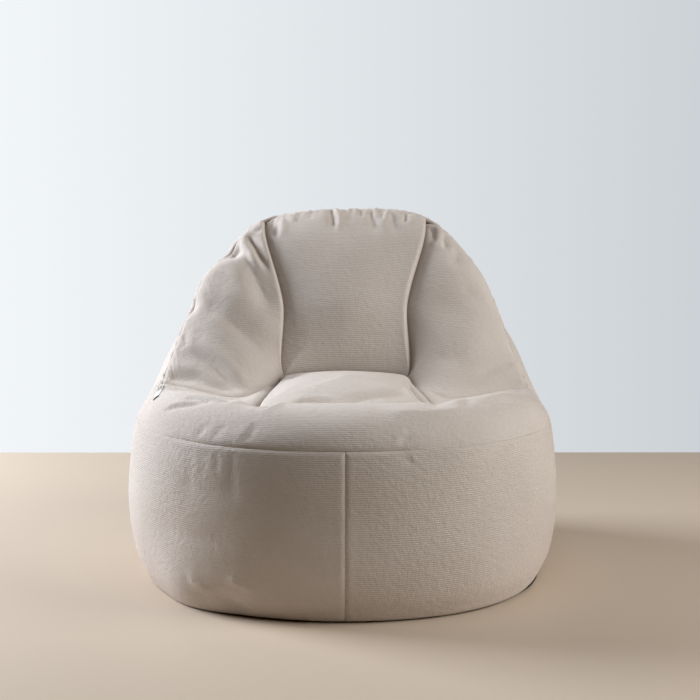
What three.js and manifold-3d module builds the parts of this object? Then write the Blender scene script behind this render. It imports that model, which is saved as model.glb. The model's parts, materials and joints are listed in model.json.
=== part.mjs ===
// A bean bag chair: sewn plush panels over a zipped liner that holds polystyrene beads.
// Millimetres, +Z up, the front faces -Y, the origin is on the floor under the middle.
import * as THREE from "three";
import { mergeVertices } from "three/addons/utils/BufferGeometryUtils.js";
import Module from "manifold-3d";

const wasm = await Module();
wasm.setup();

// The filled chair.
const WIDTH = 850; // across the belly
const DEPTH = 860; // front to back of a belly without its back seam's valley
const LIP_HEIGHT = 376; // floor to the lip round the seat
const CROWN_HEIGHT = 704; // floor to the top of the back

// The cloth. Its layers are separate pieces, one inside the other.
const BASE_CLOTH = 3;
const COVER_CLOTH = 3;
const LINER_CLOTH = 1;
const SEAM_GAP = 0.3; // between panels that are sewn edge to edge
const COVER_TO_LINER = 0.5;
const LINER_TO_BEADS = 0.3;

// The back centre seam runs straight where the zips are sewn in.
const BACK_LEAN = THREE.MathUtils.degToRad(6);
const BACK_REACH = 0.974 * (DEPTH / 2); // from the middle to the seam's foot
const ZIP_FOOT_HEIGHT = 200;
const STRAIGHT_MARGIN = 16; // straight seam past each end of the zip
const RIM_SHARE = 0.67; // of the rise from the straight seam to the crown, where the rim lies

// The cover's zip, and a lighter one in the liner under it.
const COVER_ZIP = {
  name: "cover_zip",
  length: 360,
  startsAt: 0, // along the seam from the cover zip's foot
  tapeWidth: 8,
  tapeThickness: 1,
  rowWidth: 2.5, // one row of teeth
  rowThickness: 2.6,
  bridgeGap: 1.6, // between the rows, where the slider's bridge runs
  stopLength: 4,
  sliderLength: 11,
  plateThickness: 1.2,
};
const LINER_ZIP = {
  name: "liner_zip",
  length: 290,
  startsAt: 35,
  tapeWidth: 8,
  tapeThickness: 0.6,
  rowWidth: 1.8,
  rowThickness: 1.4,
  bridgeGap: 1.2,
  stopLength: 3,
  sliderLength: 8,
  plateThickness: 0.7,
};
const FIT = 0.3; // clearance of pieces that lie against each other
const RUNNING_FIT = 0.4; // clearance of a slider's bridge and lips
const LIP_WIDTH = 1; // a slider's side lips
const LINER_ZIP_DROP = 0.8; // from the liner's cloth to the tapes under it

// The fabric pocket that the cover zip's slider parks in.
const GARAGE = { length: 30, cloth: 0.8, sideWidth: 2, standOff: 1.4 };

// The woven label in the left side seam.
const LABEL = { reach: 14, thickness: 0.8, rootGap: 0.4 };

// The chair's surface is a loft through closed rails, from the base seam up to the crown and
// down again to the middle of the seat. A place on a rail is [across, along, rise]: across in
// half widths, along in half depths, rise 0 at the floor, 1 at the lip and 2 at the crown.
// Each rail lists its right half, from the front centre round to the back centre.
const ROUND_ANGLES = [0, 32, 62, 96, 124, 152, 180];
const ROUND_POWER = 2.15; // a little squarer than an ellipse

function roundRail(halfWidth, front, back, rise) {
  return ROUND_ANGLES.map((degrees) => {
    const angle = THREE.MathUtils.degToRad(degrees);
    const c = Math.cos(angle);
    const s = Math.sin(angle);
    const r = (Math.abs(c) ** ROUND_POWER + Math.abs(s) ** ROUND_POWER) ** (-1 / ROUND_POWER);
    return [halfWidth * s * r, -(c > 0 ? front : back) * c * r, rise];
  });
}

const RAILS = [
  { name: "base", rows: 1, places: roundRail(0.915, 0.92, 0.92, 0) },
  { name: "foot", rows: 2, places: roundRail(0.976, 0.986, 0.972, 0.128) },
  { name: "belly", rows: 2, places: roundRail(1.004, 1, 0.99, 0.4) },
  { name: "band", rows: 2, places: roundRail(0.967, 0.96, 0.955, 0.82) },
  {
    name: "shoulder",
    rows: 1,
    places: [
      [0, -0.913, 0.915],
      [0.474, -0.793, 0.912],
      [0.818, -0.469, 0.912],
      [0.927, 0, 0.918],
      [0.796, 0.528, 1.232],
      [0.45, 0.806, 1.55],
      [0, 0.87, 1.57],
    ],
  },
  {
    name: "rim",
    rows: 2,
    places: [
      [0, -0.826, 0.979],
      [0.427, -0.732, 0.973],
      [0.749, -0.441, 0.976],
      [0.893, -0.019, 0.965],
      [0.75, 0.399, 1.379],
      [0.425, 0.681, 1.838],
      [0, 0.751, 1.868],
    ],
  },
  {
    name: "crown",
    rows: 2,
    places: [
      [0, -0.718, 1],
      [0.389, -0.662, 0.995],
      [0.687, -0.423, 1.003],
      [0.839, -0.033, 0.992],
      [0.711, 0.263, 1.44],
      [0.412, 0.554, 1.942],
      [0, 0.606, 2],
    ],
  },
  {
    name: "inner rim",
    rows: 2,
    places: [
      [0, -0.624, 0.979],
      [0.351, -0.575, 0.973],
      [0.611, -0.376, 0.976],
      [0.765, -0.061, 0.976],
      [0.611, 0.155, 1.379],
      [0.391, 0.423, 1.832],
      [0, 0.441, 1.875],
    ],
  },
  {
    name: "back rest",
    rows: 3,
    places: [
      [0, -0.559, 0.944],
      [0.313, -0.521, 0.936],
      [0.502, -0.352, 0.936],
      [0.483, -0.146, 0.931],
      [0.483, 0.056, 1.196],
      [0.299, 0.228, 1.44],
      [0, 0.202, 1.471],
    ],
  },
  {
    name: "seat seam",
    rows: 2,
    places: [
      [0, -0.521, 0.931],
      [0.261, -0.498, 0.926],
      [0.389, -0.408, 0.92],
      [0.327, -0.042, 0.989],
      [0.308, 0.014, 1.012],
      [0.284, 0.056, 1.03],
      [0, 0.089, 1.049],
    ],
  },
  {
    name: "seat crown",
    rows: 1,
    places: [
      [0, -0.352, 1.006],
      [0.166, -0.347, 1.003],
      [0.249, -0.293, 0.995],
      [0.199, -0.113, 1.037],
      [0.185, -0.08, 1.043],
      [0.171, -0.059, 1.049],
      [0, -0.047, 1.061],
    ],
  },
];
const SEAT_TOP = [0, -0.211, 1.061];

// Stations round the chair, where seams run up it. The left ones count back from 12.
const FRONT = 0;
const SIDE = 3; // the side seam, which goes on as the seam under the wing
const BACK_INNER = 5; // the seam between the wing and the back's centre
const BACK = 6;
const STATIONS = 12;
const COLUMNS_PER_STATION = 3;
const COLUMNS = STATIONS * COLUMNS_PER_STATION;
const BACK_COLUMN = BACK * COLUMNS_PER_STATION;

const zipRise = Math.cos(BACK_LEAN); // height gained per length of seam
const seamStart = ZIP_FOOT_HEIGHT - STRAIGHT_MARGIN;
const seamEnd = ZIP_FOOT_HEIGHT + COVER_ZIP.length * zipRise + STRAIGHT_MARGIN;

function seamPoint(height) {
  return new THREE.Vector3(0, BACK_REACH - (height - seamStart) * Math.tan(BACK_LEAN), height);
}

function placed([across, along, rise]) {
  const aboveLip = (rise - 1) * (CROWN_HEIGHT - LIP_HEIGHT);
  const height = rise < 1 ? rise * LIP_HEIGHT : LIP_HEIGHT + aboveLip;
  return new THREE.Vector3((across * WIDTH) / 2, (along * DEPTH) / 2, height);
}

// A rail's twelve places: its right half, then the same mirrored on the way back to the front.
function railPoints(rail) {
  const right = rail.places.map(placed);
  if (rail.name === "belly") right[BACK] = seamPoint(seamStart);
  if (rail.name === "shoulder") right[BACK] = seamPoint(seamEnd);
  if (rail.name === "rim") right[BACK].setZ(seamEnd + RIM_SHARE * (CROWN_HEIGHT - seamEnd));
  const left = right.slice(1, BACK).reverse();
  return [...right, ...left.map((p) => new THREE.Vector3(-p.x, p.y, p.z))];
}

// The grid of the chair's surface, rows from the base seam to the middle of the seat.
// rowOf gives the row where each rail lies.
const rowOf = {};

function loftedGrid() {
  const rings = RAILS.map((rail) => {
    const loop = new THREE.CatmullRomCurve3(railPoints(rail), true, "centripetal");
    return Array.from({ length: COLUMNS }, (_, c) => loop.getPoint(c / COLUMNS));
  });
  rings.push(Array.from({ length: COLUMNS }, () => placed(SEAT_TOP)));
  const columns = Array.from({ length: COLUMNS }, (_, c) => {
    const profile = new THREE.CatmullRomCurve3(rings.map((ring) => ring[c]), false, "centripetal");
    return RAILS.flatMap((rail, i) =>
      Array.from({ length: rail.rows }, (_, k) => profile.getPoint((i + k / rail.rows) / RAILS.length)),
    ).concat([placed(SEAT_TOP)]);
  });
  let row = 0;
  for (const rail of RAILS) {
    rowOf[rail.name] = row;
    row += rail.rows;
  }
  rowOf["seat top"] = row;
  for (let r = rowOf.belly; r <= rowOf.shoulder; r++) {
    const height = columns[BACK_COLUMN][r].z;
    columns[BACK_COLUMN][r].copy(seamPoint(height));
  }
  return Array.from({ length: row + 1 }, (_, r) => columns.map((column) => column[r]));
}

const surface = loftedGrid();

// The origin is under the middle of the chair's depth.
const depths = surface.flat().map((p) => p.y);
const drift = (Math.min(...depths) + Math.max(...depths)) / 2;
surface.slice(0, -1).flat().forEach((p) => (p.y -= drift));
surface.at(-1).forEach((p) => (p.y -= drift));

const wrapped = (c) => ((c % COLUMNS) + COLUMNS) % COLUMNS;
const at = (r, c) => surface[r][wrapped(c)];

function outwardAt(r, c) {
  if (r === rowOf["seat top"]) return new THREE.Vector3(0, 0, 1);
  const column = wrapped(c);
  if (column === BACK_COLUMN && r >= rowOf.belly && r <= rowOf.shoulder)
    return new THREE.Vector3(0, Math.cos(BACK_LEAN), Math.sin(BACK_LEAN));
  const round = at(r, c + 1).clone().sub(at(r, c - 1));
  const up = at(r + 1, c).clone().sub(at(Math.max(r - 1, 0), c));
  return round.cross(up).normalize();
}

const outward = surface.map((row, r) => row.map((_, c) => outwardAt(r, c)));

const COVER_INSIDE = COVER_CLOTH;
const LINER_OUTSIDE = COVER_INSIDE + COVER_TO_LINER;
const LINER_INSIDE = LINER_OUTSIDE + LINER_CLOTH;
const BEADS_OUTSIDE = LINER_INSIDE + LINER_TO_BEADS;
const BOTTOM = BASE_CLOTH + SEAM_GAP;

// The point of the surface at a depth inside it. The base row is set in level, because every
// layer stands flat on the one under it.
function sunk(r, c, depth) {
  const column = wrapped(c);
  if (r > 0) return at(r, c).clone().addScaledVector(outward[r][column], -depth);
  const inward = outward[0][column].clone().setZ(0).normalize().multiplyScalar(-depth);
  return at(0, c).clone().add(inward).setZ(BOTTOM + Math.max(0, depth - LINER_OUTSIDE));
}

// A closed solid from two grids of points with the same rows, given as the triangles of its
// outer face, its inner face turned round, and the walls between their open edges.
function quad(triangles, a, b, c, d) {
  for (const corners of [[a, b, c], [a, c, d]]) {
    const [p, q, s] = corners;
    if (p.distanceTo(q) > 1e-6 && q.distanceTo(s) > 1e-6 && s.distanceTo(p) > 1e-6)
      triangles.push(p, q, s);
  }
}

function shell(outer, inner, { closedRound = false, closedTop = false } = {}) {
  const triangles = [];
  const rows = outer.length - 1;
  const columns = outer[0].length - 1;
  for (let r = 0; r < rows; r++)
    for (let c = 0; c < columns; c++) {
      quad(triangles, outer[r][c], outer[r][c + 1], outer[r + 1][c + 1], outer[r + 1][c]);
      quad(triangles, inner[r][c], inner[r + 1][c], inner[r + 1][c + 1], inner[r][c + 1]);
    }
  for (let c = 0; c < columns; c++) {
    quad(triangles, outer[0][c], inner[0][c], inner[0][c + 1], outer[0][c + 1]);
    if (!closedTop)
      quad(triangles, outer[rows][c], outer[rows][c + 1], inner[rows][c + 1], inner[rows][c]);
  }
  if (!closedRound)
    for (let r = 0; r < rows; r++) {
      quad(triangles, outer[r][0], outer[r + 1][0], inner[r + 1][0], inner[r][0]);
      quad(triangles, outer[r][columns], inner[r][columns], inner[r + 1][columns], outer[r + 1][columns]);
    }
  return triangles;
}

function geometryOf(triangles) {
  const geometry = new THREE.BufferGeometry().setFromPoints(triangles);
  geometry.computeVertexNormals();
  return geometry;
}

const chair = new THREE.Group();

function addMesh(parent, name, geometry, material) {
  const mesh = new THREE.Mesh(geometry, material);
  mesh.name = name;
  parent.add(mesh);
  return mesh;
}

// Booleans: a mesh as a solid in the chair's frame, and a mesh with another cut away.
function solidOf(mesh) {
  mesh.updateWorldMatrix(true, false);
  const bare = new THREE.BufferGeometry();
  const loose = mesh.geometry.index ? mesh.geometry.toNonIndexed() : mesh.geometry;
  bare.setAttribute("position", loose.getAttribute("position").clone());
  bare.applyMatrix4(mesh.matrixWorld);
  const merged = mergeVertices(bare, 1e-3);
  return new wasm.Manifold(
    new wasm.Mesh({
      numProp: 3,
      vertProperties: merged.attributes.position.array,
      triVerts: new Uint32Array(merged.index.array),
    }),
  );
}

function cutAway(mesh, tool) {
  const made = solidOf(mesh).subtract(solidOf(tool)).getMesh();
  const geometry = new THREE.BufferGeometry();
  geometry.setAttribute("position", new THREE.BufferAttribute(new Float32Array(made.vertProperties), 3));
  geometry.setIndex(new THREE.BufferAttribute(new Uint32Array(made.triVerts), 1));
  geometry.computeVertexNormals();
  mesh.geometry = geometry;
}

const plush = new THREE.MeshStandardMaterial({ color: 0xd0c8be, roughness: 0.95, metalness: 0 });
const baseCloth = new THREE.MeshStandardMaterial({ color: 0x1d1b1a, roughness: 0.9, metalness: 0 });
const linerCloth = new THREE.MeshStandardMaterial({ color: 0xf1efec, roughness: 0.85, metalness: 0 });
const beads = new THREE.MeshStandardMaterial({ color: 0xfafafa, roughness: 0.7, metalness: 0 });
const zipTape = new THREE.MeshStandardMaterial({ color: 0xc4bbb0, roughness: 0.9, metalness: 0 });
const nylon = new THREE.MeshStandardMaterial({ color: 0xd6cfc4, roughness: 0.45, metalness: 0 });
const nickel = new THREE.MeshStandardMaterial({ color: 0xb9b6b0, roughness: 0.3, metalness: 1 });
const labelCloth = new THREE.MeshStandardMaterial({ color: 0xdedcd8, roughness: 0.8, metalness: 0 });

// A sewn panel of the cover between two rails and two stations. Its edges stop half a seam
// gap short of the seams, so that neighbours lie edge to edge without touching.
function towards(from, to, distance) {
  return from.clone().addScaledVector(to.clone().sub(from).normalize(), distance);
}

function coverPanel(name, lowRail, highRail, firstStation, lastStation) {
  const low = rowOf[lowRail];
  const high = rowOf[highRail];
  const first = firstStation * COLUMNS_PER_STATION;
  const last = lastStation * COLUMNS_PER_STATION;
  const full = last - first === COLUMNS;
  const hasPole = highRail === "seat top";
  const layer = (depth) => {
    const grid = [];
    for (let r = low; r <= high; r++) {
      const row = [];
      for (let c = first; c <= last; c++) {
        let p = sunk(r, c, depth);
        const ends = [
          [r === low && r > 0, r + 1, c],
          [r === high && !hasPole, r - 1, c],
          [c === first && !full, r, c + 1],
          [c === last && !full, r, c - 1],
        ];
        for (const [isEdge, nextRow, nextColumn] of ends)
          if (isEdge) p = towards(p, sunk(nextRow, nextColumn, depth), SEAM_GAP / 2);
        row.push(p);
      }
      grid.push(row);
    }
    return grid;
  };
  const skin = shell(layer(0), layer(COVER_INSIDE), { closedRound: full, closedTop: hasPole });
  return addMesh(chair, name, geometryOf(skin), plush);
}

const LEFT_SIDE = STATIONS - SIDE;
const LEFT_BACK_INNER = STATIONS - BACK_INNER;

coverPanel("front_panel_right", "base", "band", FRONT, SIDE);
coverPanel("front_panel_left", "base", "band", LEFT_SIDE, STATIONS);
coverPanel("seat_lip", "band", "seat seam", LEFT_SIDE, STATIONS + SIDE);
coverPanel("seat_panel", "seat seam", "seat top", 0, STATIONS);
coverPanel("wing_panel_right", "crown", "seat seam", SIDE, BACK_INNER);
coverPanel("wing_panel_left", "crown", "seat seam", LEFT_BACK_INNER, LEFT_SIDE);
coverPanel("back_rest_panel", "crown", "seat seam", BACK_INNER, LEFT_BACK_INNER);
const outerBackRight = coverPanel("outer_back_right", "base", "crown", SIDE, BACK);
const outerBackLeft = coverPanel("outer_back_left", "base", "crown", BACK, LEFT_SIDE);

// The dark, hard-wearing base cloth, flat on the floor inside the base seam.
function basePanel() {
  const outline = new THREE.Shape(surface[0].map((p) => new THREE.Vector2(p.x, p.y)));
  const flat = new THREE.ExtrudeGeometry(outline, { depth: BASE_CLOTH, bevelEnabled: false });
  return addMesh(chair, "base_panel", flat, baseCloth);
}
basePanel();

// The whole surface at a depth, closed by a flat bottom.
function bagGrid(depth) {
  const rows = surface.map((_, r) =>
    Array.from({ length: COLUMNS + 1 }, (_, c) => sunk(r, c, depth)),
  );
  const middle = new THREE.Vector3(0, 0, rows[0][0].z);
  return [rows[0].map(() => middle), ...rows];
}

function bagFace(grid, inwards) {
  const triangles = [];
  for (let r = 0; r + 1 < grid.length; r++)
    for (let c = 0; c < COLUMNS; c++) {
      const corners = [grid[r][c], grid[r][c + 1], grid[r + 1][c + 1], grid[r + 1][c]];
      if (inwards) quad(triangles, corners[0], corners[3], corners[2], corners[1]);
      else quad(triangles, ...corners);
    }
  return triangles;
}

const liner = addMesh(
  chair,
  "inner_liner",
  geometryOf([...bagFace(bagGrid(LINER_OUTSIDE), false), ...bagFace(bagGrid(LINER_INSIDE), true)]),
  linerCloth,
);
const fill = addMesh(chair, "bead_fill", geometryOf(bagFace(bagGrid(BEADS_OUTSIDE), false)), beads);

// A frame on the back centre seam: Z along the zip, Y out of the chair, and X across.
const seamFrame = new THREE.Group();
seamFrame.position.copy(seamPoint(ZIP_FOOT_HEIGHT)).setY(seamPoint(ZIP_FOOT_HEIGHT).y - drift);
seamFrame.rotation.x = BACK_LEAN;
chair.add(seamFrame);

function bar(parent, name, [x0, x1], [y0, y1], [z0, z1], material) {
  const outline = new THREE.Shape([
    new THREE.Vector2(x0, y0),
    new THREE.Vector2(x1, y0),
    new THREE.Vector2(x1, y1),
    new THREE.Vector2(x0, y1),
  ]);
  const geometry = new THREE.ExtrudeGeometry(outline, { depth: z1 - z0, bevelEnabled: false });
  const mesh = addMesh(parent, name, geometry, material);
  mesh.position.z = z0;
  return mesh;
}

// The half outline of a slider, from the bridge round its top plate to the side lip. The same
// below, and both mirrored, give the whole section that slides over the two rows.
function sliderOutline(zip) {
  const bridge = zip.bridgeGap / 2 - RUNNING_FIT;
  const inside = zip.rowThickness / 2 + FIT;
  const outside = inside + zip.plateThickness;
  const lipInside = zip.bridgeGap / 2 + zip.rowWidth + RUNNING_FIT;
  const halfWidth = lipInside + LIP_WIDTH;
  const slot = zip.tapeThickness / 2 + FIT;
  const quarter = [
    [bridge, inside],
    [lipInside, inside],
    [lipInside, slot],
    [halfWidth, slot],
    [halfWidth, outside],
  ];
  const right = [...quarter.map(([x, y]) => [x, -y]).reverse(), ...quarter];
  const left = right.map(([x, y]) => [-x, y]).reverse();
  return new THREE.Shape([...right, ...left].map(([x, y]) => new THREE.Vector2(x, y)));
}

function zipParts(zip, depth) {
  const frame = new THREE.Group();
  frame.position.set(0, -depth, zip.startsAt);
  seamFrame.add(frame);
  const rowInside = zip.bridgeGap / 2;
  const rowOutside = rowInside + zip.rowWidth;
  const tapeInside = rowOutside + FIT;
  const tapeOutside = tapeInside + zip.tapeWidth;
  const halfTape = zip.tapeThickness / 2;
  const halfRow = zip.rowThickness / 2;
  const teeth = [zip.stopLength + FIT, zip.length - zip.stopLength - FIT];
  const sides = [["right", 1], ["left", -1]];
  for (const [side, sign] of sides) {
    const across = (a, b) => [sign * a, sign * b].sort((p, q) => p - q);
    const thick = [-halfTape, halfTape];
    bar(frame, `${zip.name}_tape_${side}`, across(tapeInside, tapeOutside), thick, [0, zip.length], zipTape);
    bar(frame, `${zip.name}_teeth_${side}`, across(rowInside, rowOutside), [-halfRow, halfRow], teeth, nylon);
  }
  const stop = [-rowOutside, rowOutside];
  const high = [zip.length - zip.stopLength, zip.length];
  bar(frame, `${zip.name}_bottom_stop`, stop, [-halfRow, halfRow], [0, zip.stopLength], nickel);
  bar(frame, `${zip.name}_top_stop`, stop, [-halfRow, halfRow], high, nickel);
  const section = { depth: zip.sliderLength, bevelEnabled: false };
  const slider = new THREE.ExtrudeGeometry(sliderOutline(zip), section);
  addMesh(frame, `${zip.name}_slider`, slider, nickel).position.z = teeth[0] + FIT;
  return { frame, tapeOutside };
}

// The opening in a layer, as a box in the zip's frame that is cut away.
function opening(parent, halfWidth, [y0, y1], [z0, z1]) {
  const tool = bar(parent, "tool", [-halfWidth, halfWidth], [y0, y1], [z0, z1], plush);
  parent.remove(tool);
  const placedTool = new THREE.Mesh(tool.geometry);
  parent.updateWorldMatrix(true, false);
  placedTool.applyMatrix4(parent.matrixWorld.clone().multiply(new THREE.Matrix4().makeTranslation(0, 0, z0)));
  return placedTool;
}

const THROUGH = 12; // a cut reaches this far past a layer on each side

const coverZip = zipParts(COVER_ZIP, 0);
const coverOpening = opening(
  coverZip.frame,
  coverZip.tapeOutside + FIT,
  [-COVER_CLOTH - COVER_TO_LINER, THROUGH],
  [-FIT, COVER_ZIP.length + FIT],
);
cutAway(outerBackRight, coverOpening);
cutAway(outerBackLeft, coverOpening);

// The liner's zip is sewn under the liner's cloth, in a hollow of the beads.
const linerZipDepth = LINER_INSIDE + LINER_ZIP_DROP + LINER_ZIP.tapeThickness / 2;
const linerZip = zipParts(LINER_ZIP, linerZipDepth);
const linerZipEnds = [-FIT, LINER_ZIP.length + FIT];
const linerSlotHalf = linerZip.tapeOutside - LINER_ZIP.tapeWidth / 2;
cutAway(liner, opening(linerZip.frame, linerSlotHalf, [0, THROUGH], linerZipEnds));
const sliderHalfHeight = LINER_ZIP.rowThickness / 2 + FIT + LINER_ZIP.plateThickness;
cutAway(
  fill,
  opening(linerZip.frame, linerZip.tapeOutside + FIT, [-sliderHalfHeight - FIT, THROUGH], linerZipEnds),
);

// The garage: a flat pocket over the parked slider, standing on the cloth at both sides.
function zipGarage() {
  const sliderTop = COVER_ZIP.rowThickness / 2 + FIT + COVER_ZIP.plateThickness;
  const inside = coverZip.tapeOutside + FIT;
  const outside = inside + GARAGE.sideWidth;
  const roof = sliderTop + RUNNING_FIT;
  const outline = [
    [-outside, GARAGE.standOff],
    [-inside, GARAGE.standOff],
    [-inside, roof],
    [inside, roof],
    [inside, GARAGE.standOff],
    [outside, GARAGE.standOff],
    [outside, roof + GARAGE.cloth],
    [-outside, roof + GARAGE.cloth],
  ];
  const shape = new THREE.Shape(outline.map(([x, y]) => new THREE.Vector2(x, y)));
  const geometry = new THREE.ExtrudeGeometry(shape, { depth: GARAGE.length, bevelEnabled: false });
  const garage = addMesh(seamFrame, "zip_garage", geometry, plush);
  garage.position.z = -(GARAGE.length - COVER_ZIP.sliderLength) / 2 + COVER_ZIP.stopLength;
}
zipGarage();

// The label stands out of the left side seam, from the shoulder to just above the rim.
function sideLabel() {
  const column = LEFT_SIDE * COLUMNS_PER_STATION;
  const along = at(rowOf.rim, column + 1).clone().sub(at(rowOf.rim, column - 1)).normalize();
  const face = (side) => {
    const rows = [];
    for (let r = rowOf.shoulder; r <= rowOf.rim + 1; r++) {
      const shift = along.clone().multiplyScalar((side * LABEL.thickness) / 2);
      const rise = (reach) => at(r, column).clone().addScaledVector(outward[r][column], reach).add(shift);
      rows.push([rise(LABEL.rootGap), rise(LABEL.reach)]);
    }
    return rows;
  };
  addMesh(chair, "side_label", geometryOf(shell(face(-1), face(1))), labelCloth);
}
sideLabel();

export default chair;
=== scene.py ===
"""A bean bag chair in cream plush: sewn panels round a liner full of beads, on a dark base."""
import json
import math

import bpy
import numpy as np
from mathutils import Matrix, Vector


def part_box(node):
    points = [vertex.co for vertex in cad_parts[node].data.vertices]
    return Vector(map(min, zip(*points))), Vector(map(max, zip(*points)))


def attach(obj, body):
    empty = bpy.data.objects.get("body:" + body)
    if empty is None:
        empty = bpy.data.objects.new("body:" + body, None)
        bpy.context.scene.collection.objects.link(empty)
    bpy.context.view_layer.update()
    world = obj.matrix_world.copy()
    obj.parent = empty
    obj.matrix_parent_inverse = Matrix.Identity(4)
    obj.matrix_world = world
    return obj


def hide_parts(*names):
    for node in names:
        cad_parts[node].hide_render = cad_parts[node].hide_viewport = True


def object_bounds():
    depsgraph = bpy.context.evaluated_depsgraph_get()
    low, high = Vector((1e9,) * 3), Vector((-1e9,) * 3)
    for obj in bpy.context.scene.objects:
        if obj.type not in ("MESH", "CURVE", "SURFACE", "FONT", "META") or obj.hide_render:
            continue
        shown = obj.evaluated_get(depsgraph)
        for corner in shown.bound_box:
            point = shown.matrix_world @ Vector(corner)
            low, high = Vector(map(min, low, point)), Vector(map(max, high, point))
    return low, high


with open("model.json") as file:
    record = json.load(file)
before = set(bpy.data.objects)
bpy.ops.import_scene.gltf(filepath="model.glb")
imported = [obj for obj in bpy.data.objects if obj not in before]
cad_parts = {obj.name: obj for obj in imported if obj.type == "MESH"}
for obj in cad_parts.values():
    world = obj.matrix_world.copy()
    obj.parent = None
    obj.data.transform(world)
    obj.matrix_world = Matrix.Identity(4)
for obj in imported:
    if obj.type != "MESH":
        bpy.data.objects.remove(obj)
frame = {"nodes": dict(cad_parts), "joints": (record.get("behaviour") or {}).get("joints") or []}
cad_low, cad_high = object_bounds()

# ---- Camera. A long lens at sitting eye height, three metres in front of the chair and
# tipped down a little, so that the seat's dome just shows over the lip.
LENS_MM = 78.5
CAMERA_AT = (0.0034, -3.008, 0.825)
TIPPED_DOWN = math.radians(7.42)
TURNED_RIGHT = math.radians(0.11)

camera_data = bpy.data.cameras.new("camera")
camera_data.lens = LENS_MM
camera = bpy.data.objects.new("camera", camera_data)
camera.location = CAMERA_AT
camera.rotation_euler = (math.pi / 2 - TIPPED_DOWN, 0, -TURNED_RIGHT)
bpy.context.scene.collection.objects.link(camera)
bpy.context.scene.camera = camera
bpy.context.scene.view_settings.view_transform = "Standard"

# ---- Floor and light. A pale studio floor, a big window-like light from the left and a
# little behind, wide soft ones from the right front and from above, and a pale room all round.
# The room's wall, seen only behind the chair, is painted paler on the left: painted light.
FLOOR_HALF = 1.136
KEY_WATTS = 144
FILL_WATTS = 62
TOP_WATTS = 16
CHAIR_MIDDLE = (0, 0, 0.35)
ROOM_GLOW = 0.008
WALL_SPREAD = 0.22


def colour(hex_value):
    """An sRGB hex value as linear red, green, blue and alpha."""
    channels = [int(hex_value[i : i + 2], 16) / 255 for i in (0, 2, 4)]
    return [c / 12.92 if c <= 0.04045 else ((c + 0.055) / 1.055) ** 2.4 for c in channels] + [1]


def node(tree, kind, links=(), **settings):
    """Adds a node to a tree. A setting named like an input sets that input, any other sets the
    node's own property, and each link is (input, node it comes from, output)."""
    made = tree.nodes.new(kind)
    for name, value in settings.items():
        if hasattr(made, name):
            setattr(made, name, value)
    for name, value in settings.items():
        if not hasattr(made, name):
            made.inputs[name.replace("_", " ")].default_value = value
    for into, source, output in links:
        tree.links.new(source.outputs[output], made.inputs[into])
    return made


def bare_material(name, hex_value, roughness, metallic=0.0):
    """A plain finish, of one colour."""
    material = bpy.data.materials.new(name)
    material.use_nodes = True
    shader = material.node_tree.nodes["Principled BSDF"]
    shader.inputs["Base Color"].default_value = colour(hex_value)
    shader.inputs["Roughness"].default_value = roughness
    shader.inputs["Metallic"].default_value = metallic
    return material


corners = [(-1, -1, 0), (1, -1, 0), (1, 1, 0), (-1, 1, 0)]
floor_mesh = bpy.data.meshes.new("floor")
floor_mesh.from_pydata(np.multiply(corners, FLOOR_HALF).tolist(), [], [(0, 1, 2, 3)])
floor_mesh.materials.append(bare_material("pale_studio_floor", "cdbca8", 0.6))
floor = bpy.data.objects.new("floor", floor_mesh)
bpy.context.scene.collection.objects.link(floor)


def area_light(name, place, size, watts, tint):
    """A square light at a place, facing the chair's middle, with its size in metres."""
    lamp = bpy.data.lights.new(name, "AREA")
    lamp.size = size
    lamp.energy = watts
    lamp.color = colour(tint)[:3]
    made = bpy.data.objects.new(name, lamp)
    made.location = place
    away = np.subtract(place, CHAIR_MIDDLE)
    flat = math.hypot(away[0], away[1])
    made.rotation_euler = (math.atan2(flat, away[2]), 0, math.atan2(away[1], away[0]) + math.pi / 2)
    bpy.context.scene.collection.objects.link(made)


area_light("key_from_left", (-2.57, 0.89, 1.62), 1.3, KEY_WATTS, "edf4ff")
area_light("fill_from_right", (2.58, -0.79, 1.67), 1.6, FILL_WATTS, "ffffff")
area_light("fill_from_above", (0.25, -0.68, 3.26), 1.6, TOP_WATTS, "ffffff")

world = bpy.data.worlds.new("room")
bpy.context.scene.world = world
world.use_nodes = True
room = world.node_tree.nodes["Background"]
room.inputs["Color"].default_value = colour("ffb478")
room.inputs["Strength"].default_value = ROOM_GLOW
way = node(world.node_tree, "ShaderNodeTexCoord")
way_x = node(world.node_tree, "ShaderNodeSeparateXYZ", links=[("Vector", way, "Generated")])
across = node(
    world.node_tree,
    "ShaderNodeMapRange",
    links=[("Value", way_x, "X")],
    From_Min=-WALL_SPREAD,
    From_Max=WALL_SPREAD,
)
# Painted light: the wall seen behind the chair goes from paler on the left to greyer on the right.
wall = node(world.node_tree, "ShaderNodeMix", links=[("Factor", across, "Result")], data_type="RGBA")
wall.inputs["A"].default_value = colour("f2f6f9")
wall.inputs["B"].default_value = colour("cdd2d6")
seen = node(world.node_tree, "ShaderNodeBackground", links=[("Color", wall, "Result")], Strength=1.0)
ray = node(world.node_tree, "ShaderNodeLightPath")
shown = node(
    world.node_tree,
    "ShaderNodeMixShader",
    links=[("Fac", ray, "Is Camera Ray"), (1, room, "Background"), (2, seen, "Background")],
)
world.node_tree.links.new(shown.outputs[0], world.node_tree.nodes["World Output"].inputs["Surface"])

# ---- The stuffed bag's shape. Every panel is a part of one surface, lofted through closed
# rails from the base seam up to the crown and down again to the middle of the seat. Seams run
# on whole numbers of rails and stations.
HALF_WIDTH = cad_high.x
HALF_DEPTH = cad_high.y + 0.004
SHIFT = 0.004
CROWN = cad_high.z
LIP = 0.534 * CROWN
ROUND_ANGLES = np.radians([0, 32, 62, 96, 124, 152, 180])
ROUND_POWER = 2.15


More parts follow.
